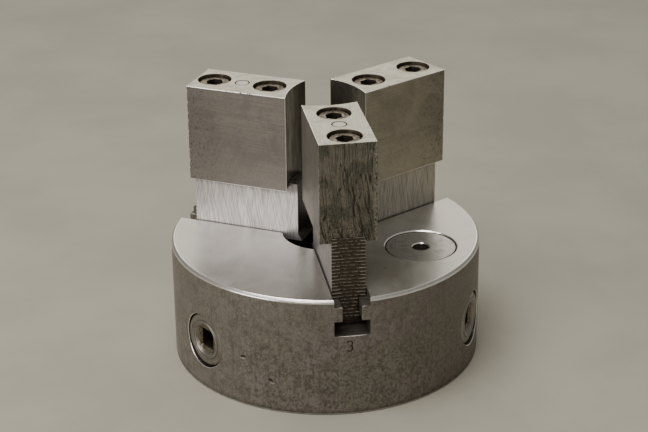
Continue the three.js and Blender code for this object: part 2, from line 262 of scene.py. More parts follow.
def finish(obj, body, nodes, angle=0.0, z=0.0, smooth=28):
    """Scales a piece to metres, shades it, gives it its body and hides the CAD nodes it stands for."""
    obj.data.transform(Matrix.Diagonal((MM, MM, MM, 1)))
    for polygon in obj.data.polygons:
        polygon.use_smooth = True
    obj.data.set_sharp_from_angle(angle=math.radians(smooth))
    modifier = obj.modifiers.new("weighted normals", "WEIGHTED_NORMAL")
    modifier.keep_sharp = True
    bake(obj)
    obj.rotation_euler.z = angle
    obj.location.z = z * MM
    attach(obj, body)
    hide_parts(*nodes)


# ---------------------------------------------------------------- materials


class Finish:
    """A material. Its textures are measured in millimetres in the object's own axes."""

    def __init__(self, name, metallic, roughness=0.4):
        self.material = bpy.data.materials.new(name)
        self.material.use_nodes = True
        self.tree = self.material.node_tree
        self.shader = self.tree.nodes["Principled BSDF"]
        self.shader.inputs["Metallic"].default_value = metallic
        self.shader.inputs["Roughness"].default_value = roughness
        own = self.node("ShaderNodeTexCoord", {}).outputs["Object"]
        self.mm = self.vector("SCALE", {0: own, "Scale": 1 / MM})
        self.normal = None

    def node(self, kind, inputs, **settings):
        """A node with its settings. inputs gives numbers or other nodes' outputs to its sockets."""
        made = self.tree.nodes.new(kind)
        for key, value in settings.items():
            setattr(made, key, value)
        for key, value in inputs.items():
            self.feed(made.inputs[key], value)
        return made

    def feed(self, socket, value):
        if isinstance(value, bpy.types.NodeSocket):
            self.tree.links.new(value, socket)
        else:
            socket.default_value = value

    def vector(self, operation, inputs):
        return self.node("ShaderNodeVectorMath", inputs, operation=operation).outputs["Vector"]

    def mapped(self, scale, turned=(0, 0, 0), seed=0.0, source=None):
        """The place in millimetres, turned, then stretched to cells per millimetre.

        scale is one number, or one for each axis.
        """
        angles = [math.radians(a) for a in turned]
        offset = (seed, seed * 0.7, seed * 1.3)
        inputs = {"Vector": source or self.mm, "Rotation": angles, "Location": offset}
        spin = self.node("ShaderNodeMapping", inputs, vector_type="POINT")
        stretch = scale if isinstance(scale, tuple) else (scale,) * 3
        return self.vector("MULTIPLY", {0: spin.outputs["Vector"], 1: stretch})

    def noise(self, scale, turned=(0, 0, 0), seed=0.0, detail=4, rough=0.55, warp=0.0, source=None):
        inputs = {"Vector": self.mapped(scale, turned, seed, source), "Scale": 1, "Detail": detail,
                  "Roughness": rough, "Distortion": warp}
        return self.node("ShaderNodeTexNoise", inputs).outputs["Fac"]

    def cells(self, scale, turned, seed):
        """The distance to the nearest edge between cells."""
        inputs = {"Vector": self.mapped(scale, turned, seed), "Scale": 1}
        return self.node("ShaderNodeTexVoronoi", inputs, feature="DISTANCE_TO_EDGE").outputs["Distance"]

    def along(self, axis):
        """The place on one axis, in millimetres."""
        return self.node("ShaderNodeSeparateXYZ", {0: self.mm}).outputs[axis]

    def rings(self, scale, axis="Z", centre=(0, 0, 0), detail=5, rough=0.7):
        """Fine marks round a line along an axis."""
        keep = [0 if a == axis else 1 for a in "XYZ"]
        back = [-c * k for c, k in zip(centre, keep)]
        flat = self.vector("MULTIPLY_ADD", {0: self.mm, 1: keep, 2: back})
        far = self.node("ShaderNodeVectorMath", {0: flat}, operation="LENGTH").outputs["Value"]
        inputs = {"W": far, "Scale": scale, "Detail": detail, "Roughness": rough}
        return self.node("ShaderNodeTexNoise", inputs, noise_dimensions="1D").outputs["Fac"]

    def math(self, operation, a, b=0.0, c=0.0):
        return self.node("ShaderNodeMath", {0: a, 1: b, 2: c}, operation=operation).outputs[0]

    def ramp(self, value, low, high, out_low=0.0, out_high=1.0):
        """Maps low..high smoothly to out_low..out_high, and holds the ends."""
        inputs = dict(enumerate((value, low, high, out_low, out_high)))
        return self.node("ShaderNodeMapRange", inputs, interpolation_type="SMOOTHSTEP").outputs[0]

    def mix(self, amount, a, b):
        a, b = [(*c, 1) if isinstance(c, tuple) else c for c in (a, b)]
        return self.node("ShaderNodeMix", {"Factor": amount, 6: a, 7: b}, data_type="RGBA").outputs[2]

    def color(self, value):
        self.feed(self.shader.inputs["Base Color"], value)

    def rough(self, value):
        self.feed(self.shader.inputs["Roughness"], value)

    def bump(self, height, depth_mm):
        """Adds relief of that depth. Calls add up."""
        inputs = {"Height": height, "Distance": depth_mm * MM, "Strength": 1}
        if self.normal:
            inputs["Normal"] = self.normal
        self.normal = self.node("ShaderNodeBump", inputs).outputs["Normal"]
        self.feed(self.shader.inputs["Normal"], self.normal)


def shade(color, amount):
    return tuple(c * amount for c in color)


def body_side():
    """Old brown-grey steel: soft mottling, clusters of dark spots, upright streaks, fine pits, with painted
    shade towards the right side and at the foot.
    """
    f = Finish("rim_patina_and_painted_shade", metallic=0.75)
    wide = f.noise((0.032, 0.032, 0.04), seed=40, detail=2)
    blotch = f.noise((0.19, 0.19, 0.18), seed=2, warp=0.8)
    spot = f.noise((0.6, 0.6, 0.52), seed=7, detail=5, rough=0.68, warp=0.3)
    grain = f.noise((1.3, 1.3, 1.1), seed=12, rough=0.65)
    streak = f.noise((0.55, 0.55, 0.03), seed=21, rough=0.6)
    from_left = f.ramp(f.along("X"), -68, -42, 0.15, 1)
    cluster = f.math("MULTIPLY", f.ramp(f.along("Z"), 22, 56, 1, 0.3), from_left)
    tone = f.mix(f.ramp(wide, 0.4, 0.6), (0.25, 0.22, 0.21), (0.215, 0.2, 0.165))
    tone = f.mix(f.ramp(blotch, 0.43, 0.66, 0, 0.62), tone, (0.115, 0.104, 0.085))
    tone = f.mix(f.ramp(grain, 0.42, 0.66, 0, 0.45), tone, (0.36, 0.33, 0.305))
    spots = f.math("MULTIPLY", f.ramp(spot, 0.45, 0.62, 0, 0.72), cluster)
    tone = f.mix(spots, tone, (0.088, 0.078, 0.062))
    tone = f.mix(f.ramp(streak, 0.5, 0.7, 0, 0.4), tone, (0.115, 0.104, 0.086))
    # Painted shade: the rim is darkened towards its right side (+X), the side turned away from the lamps.
    tone = f.mix(f.ramp(f.along("X"), 5, 60, 0, 0.4), tone, (0.115, 0.104, 0.082))
    # Painted shade: a dark band at the foot, where the body stands on the floor.
    low = f.ramp(f.along("Z"), 0.3, 3.5, 0.6, 0)
    f.color(f.mix(low, tone, (0.06, 0.052, 0.043)))
    f.rough(f.ramp(f.math("ADD", grain, f.math("MULTIPLY", blotch, 0.7)), 0.6, 1.1, 0.58, 0.4))
    f.bump(grain, 0.035)
    f.bump(f.math("MULTIPLY", f.ramp(spot, 0.5, 0.66), cluster), -0.04)
    return f.material


def body_face():
    """Smooth ground face with faint rings, fine scratches and a few stains."""
    f = Finish("face_satin", metallic=0.95)
    rings = f.rings(2.2)
    smear = f.noise(0.045, seed=5, detail=5, rough=0.6, warp=0.8)
    fine = f.noise((2.4, 0.06, 0.06), turned=(0, 0, 24), seed=9, detail=5, rough=0.7)
    cross = f.noise((0.05, 2.0, 0.05), turned=(0, 0, -31), seed=19, detail=5, rough=0.7)
    scratch = f.math("MULTIPLY", f.ramp(f.cells((0.55, 0.02, 0.02), (0, 0, 37), 3), 0.0, 0.012, 1, 0),
                     f.ramp(smear, 0.45, 0.6))
    speck = f.noise(0.8, seed=31, detail=2)
    tone = f.mix(f.ramp(smear, 0.3, 0.7), (0.52, 0.50, 0.47), (0.66, 0.645, 0.61))
    tone = f.mix(f.ramp(fine, 0.35, 0.7, 0, 0.3), tone, (0.74, 0.72, 0.69))
    tone = f.mix(f.ramp(speck, 0.7, 0.8, 0, 0.5), tone, (0.26, 0.22, 0.18))
    f.color(f.mix(f.math("MULTIPLY", scratch, 0.4), tone, (0.82, 0.81, 0.78)))
    grain = f.math("ADD", f.math("MULTIPLY", fine, 0.5), f.math("MULTIPLY", cross, 0.5))
    f.rough(f.ramp(f.math("ADD", grain, f.math("MULTIPLY", smear, 0.8)), 0.6, 1.2, 0.29, 0.4))
    f.bump(rings, 0.004)
    f.bump(grain, 0.006)
    f.bump(scratch, -0.01)
    return f.material


def plain_steel(name, dark, light, rough, scale, metallic=0.95, relief=0.01, seed=0):
    """Worked steel with uneven tone and a fine grain that follows scale."""
    f = Finish(name, metallic=metallic)
    grain = f.noise(scale, seed=seed, detail=6, rough=0.7)
    cloud = f.noise(0.12, seed=seed + 11, rough=0.6, warp=0.4)
    tone = f.mix(f.ramp(grain, 0.32, 0.68), dark, light)
    f.color(f.mix(f.ramp(cloud, 0.5, 0.75, 0, 0.45), tone, dark))
    f.rough(f.ramp(grain, 0.3, 0.7, rough[1], rough[0]))
    f.bump(grain, relief)
    return f.material


def turned_steel(name, dark, light, axis="Z", centre=(0, 0, 0), scale=1.6, rough=(0.28, 0.42), stain=0.4):
    """Lathe-turned steel, with rings round a line and oily stains."""
    f = Finish(name, metallic=0.93)
    rings = f.rings(scale, axis, centre)
    cloud = f.noise(0.22, seed=13, detail=6, rough=0.66, warp=0.6)
    speck = f.noise(1.6, seed=17, detail=3, rough=0.6)
    tone = f.mix(f.ramp(rings, 0.3, 0.7), dark, light)
    tone = f.mix(f.ramp(cloud, 0.48, 0.68, 0, stain), tone, shade(dark, 0.45))
    f.color(f.mix(f.ramp(speck, 0.62, 0.78, 0, 0.35), tone, shade(dark, 0.5)))
    f.rough(f.ramp(f.math("ADD", rings, cloud), 0.7, 1.3, rough[0], rough[1]))
    f.bump(rings, 0.012)
    f.bump(speck, 0.01)
    return f.material


def ground_jaw(number, dark, light):
    """Ground steel, crossed by nearly upright grinding scratches, with a painted shadow under the block."""
    f = Finish(f"base_jaw_ground_painted_light_{number}", metallic=0.88)
    left = f.noise((2.7, 0.2, 0.06), turned=(0, 8, 0), seed=2, detail=5, rough=0.72)
    right = f.noise((2.3, 0.2, 0.055), turned=(0, -10, 0), seed=12, detail=5, rough=0.72)
    deep = f.ramp(f.cells((1.1, 0.3, 0.03), (0, 6, 0), 5), 0.0, 0.03, 1, 0)
    both = f.math("MULTIPLY", f.math("ADD", left, right), 0.5)
    # Painted shadow: a dark band on the jaw just under the block, with a ragged lower edge.
    tip = f.noise((0.9, 0.2, 0.1), seed=22)
    ragged = f.math("ADD", f.along("Z"), f.math("MULTIPLY", tip, 7))
    edge = f.ramp(ragged, BLOCK_BOTTOM - 1.2, BLOCK_BOTTOM + 2.4, 0, 0.85)
    tone = f.mix(f.ramp(both, 0.41, 0.59), dark, light)
    tone = f.mix(f.math("MULTIPLY", deep, 0.35), tone, (0.3, 0.28, 0.27))
    # Painted shadow under the block.
    f.color(f.mix(edge, tone, (0.25, 0.235, 0.23)))
    f.rough(f.ramp(both, 0.38, 0.62, 0.48, 0.36))
    f.bump(both, 0.035)
    f.bump(deep, -0.012)
    return f.material


def ribbed_end():
    """The milled end of a base jaw: brown in the grooves, bare on the crests."""
    f = Finish("base_jaw_milled", metallic=0.75)
    crest = f.ramp(f.along("X"), JAW_END - 0.2, JAW_END - 0.05)
    broken = f.noise((1.1, 1.5, 1.3), seed=4, rough=0.6)
    side = f.ramp(f.math("ABSOLUTE", f.along("Y")), 2.5, 6.5, 0, 0.16)
    speck = f.noise(1.8, seed=14, detail=3, rough=0.7)
    shine = f.math("MULTIPLY", crest, f.ramp(f.math("ADD", broken, side), 0.44, 0.64, 0.16, 1))
    tone = f.mix(f.ramp(speck, 0.35, 0.65), (0.035, 0.028, 0.02), (0.115, 0.093, 0.07))
    f.color(f.mix(shine, tone, (0.36, 0.33, 0.285)))
    f.rough(f.ramp(shine, 0, 1, 0.62, 0.36))
    f.bump(speck, 0.05)
    return f.material


def sawn_end(seed, brown):
    """The rough sawn end of a block: dark in the saw marks, worn a little barer between them."""
    f = Finish(f"block_sawn_{seed}", metallic=0.75)
    crest = f.ramp(f.along("X"), BLOCK_END - 0.6, BLOCK_END - 0.2)
    height = BLOCK_TOP - BLOCK_BOTTOM
    down = f.math("MULTIPLY_ADD", f.along("Z"), -1 / height, BLOCK_TOP / height)
    leaning = f.math("MULTIPLY_ADD", f.math("MULTIPLY", down, down), -SAW_LEAN, f.along("Y"))
    bent = f.node("ShaderNodeCombineXYZ", {"Y": leaning, "Z": f.along("Z")}).outputs[0]
    wavy = f.noise((0.3, 0.42, 0.03), seed=seed + 3, detail=2, rough=0.4, source=bent)
    close = f.noise((0.3, 0.95, 0.06), seed=seed + 6, detail=2, rough=0.4, source=bent)
    patch = f.noise((0.1, 0.1, 0.05), seed=seed + 19, detail=3)
    line = f.ramp(f.math("ABSOLUTE", f.math("SUBTRACT", wavy, 0.5)), 0.007, 0.027, 0.9, 0)
    hair = f.ramp(f.math("ABSOLUTE", f.math("SUBTRACT", close, 0.5)), 0.008, 0.032, 0.5, 0)
    line = f.math("MAXIMUM", line, f.math("MULTIPLY", hair, f.ramp(patch, 0.42, 0.58)))
    thread = f.noise((0.5, 1.3, 0.08), seed=seed + 2, detail=5, rough=0.65, warp=0.2, source=bent)
    cloud = f.noise((0.12, 0.12, 0.08), seed=seed + 8, rough=0.6, warp=0.5)
    speck = f.noise((1.1, 1.1, 0.8), seed=seed + 15, rough=0.7)
    foot = f.ramp(f.along("Z"), BLOCK_BOTTOM + 2, BLOCK_BOTTOM + 26, 0.8, 0.12)
    chipped = f.math("MULTIPLY", f.ramp(f.along("Y"), 11.4, 13.2), f.ramp(speck, 0.46, 0.58, 0, 0.8))
    dark = (0.035, 0.03, 0.022)
    tone = f.mix(f.ramp(thread, 0.34, 0.6), shade(brown, 0.76), brown)
    tone = f.mix(f.ramp(cloud, 0.44, 0.58, 0, 0.75), tone, (0.105, 0.103, 0.08))
    tone = f.mix(f.math("MULTIPLY", f.ramp(speck, 0.46, 0.62), 0.4), tone, (0.06, 0.055, 0.042))
    tone = f.mix(f.math("MULTIPLY", f.ramp(speck, 0.46, 0.6), foot), tone, dark)
    tone = f.mix(f.math("MULTIPLY", crest, f.ramp(speck, 0.3, 0.5, 0.75, 1)), dark, tone)
    tone = f.mix(line, tone, (0.03, 0.026, 0.019))
    f.color(f.mix(chipped, tone, (0.42, 0.4, 0.34)))
    f.rough(f.ramp(crest, 0, 1, 0.65, 0.44))
    f.bump(line, -0.06)
    f.bump(thread, 0.025)
    f.bump(speck, 0.04)
    return f.material


def block_side(seed, light):
    """Brushed steel, with long fine lines, very faint arcs, dark freckles and small pits."""
    f = Finish(f"block_side_{seed}", metallic=0.88)
    lines = f.noise((0.035, 0.3, 1.9), turned=(0, 2, 0), seed=seed, detail=6, rough=0.66)
    bend = f.rings(0.9, "Y", (BLOCK_INNER + 6, 0, BLOCK_BOTTOM + 4), detail=4, rough=0.5)
    cloud = f.noise((0.07, 0.2, 0.07), seed=seed + 5, detail=5, rough=0.6, warp=0.6)
    speck = f.noise(0.85, seed=seed + 9, rough=0.65)
    outer = f.ramp(f.along("X"), BLOCK_END - 22, BLOCK_END - 2, 0.25, 1)
    arcs = f.math("MULTIPLY", bend, 0.2)
    grain = f.math("ADD", f.math("MULTIPLY", lines, 0.8), arcs)
    dark = shade(light, 0.55)
    tone = f.mix(f.ramp(grain, 0.36, 0.64), shade(light, 0.78), light)
    tone = f.mix(f.ramp(cloud, 0.42, 0.7, 0, 0.55), tone, dark)
    uneven = f.math("ADD", f.along("X"), f.math("MULTIPLY", cloud, 20))
    tone = f.mix(f.ramp(uneven, BLOCK_END - 26, BLOCK_END + 12, 0, 0.5), tone, dark)
    foot = f.ramp(f.along("Z"), BLOCK_BOTTOM + 2, BLOCK_BOTTOM + 24, 0.35, 0)
    tone = f.mix(foot, tone, shade(light, 1.25))
    freckle = f.math("MULTIPLY", f.ramp(speck, 0.5, 0.64, 0, 0.8), outer)
    f.color(f.mix(freckle, tone, shade(light, 0.35)))
    f.rough(f.ramp(f.math("ADD", grain, cloud), 0.75, 1.25, 0.36, 0.5))
    f.bump(grain, 0.012)
    f.bump(speck, 0.02)
    return f.material


def block_top(seed):
    """The pale ground top of a block, with small nicks and faint stains."""
    f = Finish(f"block_top_{seed}", metallic=0.75)
    lines = f.noise((0.06, 2.2, 0.3), turned=(0, 0, 6), seed=seed, detail=5, rough=0.7)
    cloud = f.noise(0.13, seed=seed + 4, detail=6, rough=0.68, warp=0.8)
    nick = f.ramp(f.noise(0.75, seed=seed + 6, detail=2), 0.7, 0.76)
    tone = f.mix(f.ramp(lines, 0.34, 0.66), (0.56, 0.52, 0.43), (0.69, 0.65, 0.55))
    tone = f.mix(f.ramp(cloud, 0.44, 0.64, 0, 0.5), tone, (0.42, 0.385, 0.31))
    f.color(f.mix(f.math("MULTIPLY", nick, 0.6), tone, (0.25, 0.225, 0.19)))
    f.rough(f.ramp(f.math("ADD", lines, cloud), 0.75, 1.25, 0.38, 0.5))
    f.bump(lines, 0.01)
    f.bump(nick, -0.05)
    return f.material


BODY_SIDE = body_side()
BODY_FACE = body_face()
BRIGHT_EDGE = plain_steel(
    "edge_bright", (0.88, 0.86, 0.83), (0.97, 0.96, 0.94), (0.16, 0.24), 0.3, relief=0.003)
CHAMFER = plain_steel(
    "rim_chamfer", (0.5, 0.485, 0.46), (0.66, 0.645, 0.62), (0.26, 0.36), 0.3, relief=0.004)
WORN_EDGE = plain_steel(
    "edge_worn", (0.3, 0.28, 0.25), (0.62, 0.6, 0.56), (0.3, 0.4), 0.5, seed=6)
SLOT_STEEL = plain_steel(
    "slot_machined", (0.12, 0.105, 0.088), (0.32, 0.30, 0.27), (0.38, 0.55), (0.15, 1.4, 1.4),
    relief=0.02, seed=3)
INSIDE = plain_steel(
    "inside_oiled", (0.06, 0.052, 0.044), (0.17, 0.155, 0.138), (0.34, 0.5), (0.5, 0.5, 1.6),
    relief=0.02, seed=8)
BORE = turned_steel("bore_oiled", (0.10, 0.09, 0.08), (0.2, 0.185, 0.17), scale=1.0, stain=0.6)
BACK = turned_steel("back_turned", (0.34, 0.325, 0.305), (0.52, 0.505, 0.48), scale=1.2)
HOLE = plain_steel(
    "hole_dark", (0.03, 0.026, 0.022), (0.085, 0.075, 0.062), (0.4, 0.6), 0.8, metallic=0.8, seed=5)
STAMP = plain_steel(
    "stamp_dark", (0.02, 0.017, 0.014), (0.05, 0.043, 0.036), (0.5, 0.7), 0.8, metallic=0.6)
RIBBED = ribbed_end()
GRIP = plain_steel(
    "grip_face", (0.11, 0.1, 0.085), (0.25, 0.235, 0.205), (0.3, 0.42), (0.25, 0.25, 0.05), seed=6)
BLACKENED = plain_steel(
    "screw_black", (0.035, 0.03, 0.026), (0.13, 0.115, 0.1), (0.3, 0.48), 0.9,
    metallic=0.85, relief=0.02, seed=2)
# Mottled wear with painted shade: the dark wall of the counterbores.
COUNTERBORE = plain_steel(
    "counterbore_worn_and_painted_shade", (0.05, 0.041, 0.029), (0.21, 0.18, 0.14), (0.4, 0.55), 0.5,
    metallic=0.9, relief=0.02, seed=15)
RUBBED = plain_steel(
    "screw_rubbed", (0.06, 0.047, 0.032), (0.39, 0.335, 0.26), (0.4, 0.55), 0.65, relief=0.03, seed=9)

# ---------------------------------------------------------------- body


def slot_outline(grow=0.0):
    """The T-slot's section as (y, z) points, with its edges eased. grow moves its sides outwards."""
    w, n, c = SLOT_HALF + grow, NECK_HALF + grow, 0.3
    half = [(w, SLOT_FLOOR - grow), (w, RAIL_BOTTOM + grow), (n + c, RAIL_BOTTOM + grow),
            (n, RAIL_BOTTOM + grow + c), (n, RAIL_TOP - grow - c), (n + c, RAIL_TOP - grow),
            (w, RAIL_TOP - grow), (w, BODY_H - 0.45 + 0.2 * grow), (w + 0.45 + 1.5, BODY_H + 1.5)]
    return half + [(-y, z) for y, z in reversed(half)]


def slot_cutters(angle):
    run = loft("slot", [[(x, y, z) for y, z in slot_outline()] for x in (0, BODY_R + 2)], SLOT_STEEL)
    mouth = loft("slot_mouth", [[(x, y, z) for y, z in slot_outline(grow)]
                                for x, grow in ((BODY_R - 0.35, 0), (BODY_R + 0.35, 0.7))], WORN_EDGE)
    return [turn(run, angle), turn(mouth, angle)]


def on_rim(y, inset=0.0):
    """How far out the rim's surface lies at a distance y to the side."""
    return math.sqrt(BODY_R ** 2 - y ** 2) - inset


def pinion_mouth(r, depth, angle):
    """Eases the edge where a pinion's bore comes out of the round rim."""
    rings = []
    for radius, inset in ((r - 0.6, depth + 0.6), (r + depth + 0.1, -0.1), (r + depth + 0.1, -2.5)):
        rings.append([(on_rim(y, inset), y, z + PINION_Z) for y, z in circle(radius, 96)])
    return turn(loft("pinion_mouth", rings, BRIGHT_EDGE), angle)


def along_x(cutter, angle):
    """A cutter about Z, laid along X at the pinions' height and turned to its angle."""
    turn(cutter, math.radians(90), "Y")
    return turn(shift(cutter, z=PINION_Z), angle)


def arc(cx, cy, rx, ry, start, end, steps=12):
    """Points along part of an ellipse, between two angles in degrees."""
    angles = [math.radians(start + (end - start) * i / steps) for i in range(steps + 1)]
    return [(cx + rx * math.cos(a), cy + ry * math.sin(a)) for a in angles]


def glyph(number):
    """The strokes of a stamped digit, as (across, up) points in a box one unit high."""
    if number == 1:
        return [(-0.16, 0.3), (0.03, 0.5), (0.03, -0.5)]
    if number == 2:
        return arc(0, 0.24, 0.26, 0.26, 165, -40) + [(-0.27, -0.5), (0.28, -0.5)]
    return arc(0, 0.25, 0.24, 0.25, 155, -80) + arc(0, -0.24, 0.27, 0.26, 78, -155)


def stamp(number, angle, z=38.2, height=5.6):
    """A digit pressed into the rim under its slot, as a groove with a rounded bottom."""
    points = [(x * height, y * height) for x, y in glyph(number)]
    r, sides, rings = 0.34, 8, []
    for i, (u, v) in enumerate(points):
        u0, v0 = points[max(i - 1, 0)]
        u1, v1 = points[min(i + 1, len(points) - 1)]
        along = Vector((u1 - u0, v1 - v0)).normalized()
        ring = []
        for k in range(sides):
            a = TAU * k / sides
            side, out = r * math.cos(a), r * math.sin(a)
            du, dv = u - along.y * side, v + along.x * side
            reach = BODY_R + 0.1 + out
            ring.append((reach * math.cos(du / BODY_R), reach * math.sin(du / BODY_R), z + dv))
        rings.append(ring)
    return turn(loft("stamp", rings, STAMP), angle)


def dent(angle, z, across, up, depth, tilt=0.0, material=BODY_SIDE):
    """A small dent in the rim: most of an ellipsoid sunk into it."""
    rings = []
    for i in range(1, 8):
        a = math.pi * i / 8
        rings.append([(math.cos(a) * depth, across * math.sin(a) * y, up * math.sin(a) * w)
                      for y, w in circle(1, 12)])
    made = loft("dent", rings, material)
    turn(made, math.radians(tilt), "X")
    return turn(shift(made, x=BODY_R + depth * 0.25, z=z), math.radians(angle))


def pit(x, y, r, depth=0.25):
    """A small round pit in the face."""
    steps = [(r * 0.45, BODY_H - depth), (r * 0.85, BODY_H - depth * 0.6), (r, BODY_H + 0.2)]
    return round_cut("pit", steps, 9, STAMP, x, y)


# Dents in the rim: angle in degrees, height, half width, half height, depth, tilt in degrees.
DENTS = (
    (-130.1, 26.9, 2.3, 1.35, 0.65, 8),
    (-119.2, 16.9, 2.1, 1.35, 0.65, -38),
    (-131.9, 47.5, 0.45, 1.9, 0.3, 0),
    (-133.4, 53.6, 0.35, 1.5, 0.25, 4),
    (-98.0, 24.0, 0.5, 0.4, 0.25, 0),
    (-62.0, 41.0, 0.7, 0.5, 0.3, 20),
    (-44.0, 17.0, 1.0, 0.5, 0.3, -25),
    (12.0, 30.0, 1.2, 0.7, 0.35, 30),
    (63.0, 20.0, 0.9, 1.1, 0.35, 0),
    (118.0, 44.0, 1.3, 0.6, 0.4, -15),
    (171.0, 22.0, 0.8, 0.9, 0.3, 10),
)
LARGE_DENT = 1.5  # a dent wider than this has a dark bottom

# Small pits in the face: x, y and radius.
PITS = ((-10.4, -54.9, 0.32), (22.1, -48.3, 0.45), (-40, 40, 0.35), (30, 62, 0.4), (-61, -12, 0.3))


def plug_pocket():
    """The round pocket that the face plug sits in, with a bright edge."""
    low, high = box_mm("face_plug")
    centre = (low + high) / 2
    r, floor = (high.x - low.x) / 2 + PLAY, low.z - PLAY
    profile = [(0, floor), (r, floor), (r, BODY_H - 0.5), (r + 1.5, BODY_H + 1), (0, BODY_H + 1)]
    pocket = lathe("pocket", profile, 160, [0, 0, 1, 0, 0], (INSIDE, BRIGHT_EDGE))
    return shift(pocket, centre.x, centre.y)


def make_body():
    """The chuck's body, cut as the CAD body is, with eased edges and small marks of use."""
    side, face, bright, rear, hollow, bored, eased = range(7)
    materials = (BODY_SIDE, BODY_FACE, BRIGHT_EDGE, BACK, INSIDE, BORE, CHAMFER)
    # The section runs down the rim from its eased edge, in across the back and up the inside.
    rim = [(78.35, 63.0), (78.65, 62.95), (78.9, 62.78), (79.62, 62.03), (79.88, 61.7), (80.0, 61.3)]
    back = [(BODY_R, 0.9), (BODY_R - 0.25, 0.3), (BODY_R - 0.9, 0), (REGISTER_R + 0.4, 0),
            (REGISTER_R, 0.4)]
    inside = [(REGISTER_R, COVER_SEAT), (CAVITY_R, COVER_SEAT), (CAVITY_R, CAVITY_TOP),
              (HUB_R, CAVITY_TOP), (HUB_R, COVER_SEAT), (BORE_R, COVER_SEAT), (BORE_R, BODY_H - 0.6),
              (BORE_R + 0.5, BODY_H)]
    marks = [bright, bright, eased, bright, bright, side, *[rear] * 4, *[hollow] * 6, bored, bright, face]
    body = lathe("chuck_body", [*rim, *back, *inside], 288, marks, materials)
    cutters = []
    for number, angle in JAWS.items():
        cutters += slot_cutters(angle)
        cutters.append(stamp(number, angle - math.radians(1.0 if number == 3 else -0.4)))
        hole = round_cut("mount", [(4.25, 22), (4.25, 0.5), (5.75, -1)], 32, HOLE, MOUNT_CIRCLE)
        cutters.append(turn(hole, angle))
    for angle in PINIONS.values():
        hole = round_cut("pinion_bore", [(PINION_BORE_R, x) for x in (CAVITY_R - 4, BODY_R + 2)], 96, INSIDE)
        cutters.append(along_x(hole, angle))
        cutters.append(pinion_mouth(PINION_BORE_R, 0.22, angle))
        pilot = round_cut("pilot", [(PILOT_BORE_R, 24.2), (PILOT_BORE_R, HUB_R + 1)], 32, INSIDE)
        cutters.append(along_x(pilot, angle))
        hole = round_cut("screw_hole", [(3.3, 14), (3.3, 0.4), (4.7, -1)], 32, HOLE, PINION_SCREW_CIRCLE)
        cutters.append(turn(hole, angle))
    for angle in COVER_SCREW_ANGLES:
        steps = [(2.3, 23), (2.3, COVER_SEAT - 1)]
        cutters.append(turn(round_cut("cover_hole", steps, 24, HOLE, COVER_SCREW_CIRCLE), angle))
    cutters.append(plug_pocket())
    for angle, z, across, up, depth, tilt in DENTS:
        cutters.append(dent(angle, z, across, up, depth, tilt))
        if across > LARGE_DENT:
            cutters.append(dent(angle, z + 0.2, across * 0.8, up * 0.6, depth * 1.7, tilt, HOLE))
    cutters += [pit(x, y, r) for x, y, r in PITS]
    combine(body, cutters)
    # The rails' tips are rubbed bright at the slot mouths.
    worn = [m.name for m in body.data.materials].index(WORN_EDGE.name)
    paint(body, lambda c, n, m: bright if m == worn and abs(c.z - RAIL_TOP) < 0.6 else m)
    finish(body, "chuck_body", ["body"])


make_body()

# ---------------------------------------------------------------- from the CAD nodes


def local_copy(node, name, angle, z=0.0, materials=()):
    """A copy of a CAD node in millimetres, turned back to point along +X, as a new piece."""
    mesh = frame["nodes"][node].data.copy()
    mesh.transform(Matrix.Diagonal((1 / MM, 1 / MM, 1 / MM, 1)))
    mesh.transform(Matrix.Rotation(-angle, 4, "Z"))
    mesh.transform(Matrix.Translation((0, 0, -z)))
    bm = bmesh.new()
    bm.from_mesh(mesh)
    bmesh.ops.remove_doubles(bm, verts=bm.verts, dist=0.002)
    for face in bm.faces:
        face.material_index = 0
    bm.to_mesh(mesh)
    bm.free()
    mesh.materials.clear()
    for material in materials:
        mesh.materials.append(material)
    for layer in [a.name for a in mesh.attributes if a.name in ("sharp_face", "custom_normal")]:
        mesh.attributes.remove(mesh.attributes[layer])
    return place(name, mesh)


def sheet_cutter(name, end, half, low, high, depth, steps, material):
    """A block that takes depth(y, z) off the end of a piece that points along +X."""
    ny, nz = steps
    verts, faces = [], []
    for i in range(nz + 1):
        z = low + (high - low) * i / nz
        for k in range(ny + 1):
            y = -half + 2 * half * k / ny
            verts.append((end - depth(y, z), y, z))
    for i in range(nz):
        for k in range(ny):
            a = i * (ny + 1) + k
            faces.append((a, a + 1, a + ny + 2, a + ny + 1))
    rim = ([k for k in range(ny)] + [(i + 1) * (ny + 1) - 1 for i in range(nz)]
           + [(nz + 1) * (ny + 1) - 1 - k for k in range(ny)] + [(nz - i) * (ny + 1) for i in range(nz)])
    first = len(verts)
    verts += [(end + 2, verts[v][1], verts[v][2]) for v in rim]
    for i, v in enumerate(rim):
        j = (i + 1) % len(rim)
        faces.append((v, rim[j], first + j, first + i))
    faces.append(tuple(range(first, first + len(rim))))
    return make(name, verts, faces, None, (material,))


def wobble(x, y, z=0.0):
    """Smooth noise from -1 to 1."""
    return noise.noise(Vector((x, y, z)))


# ---------------------------------------------------------------- face plug, pinions and cover


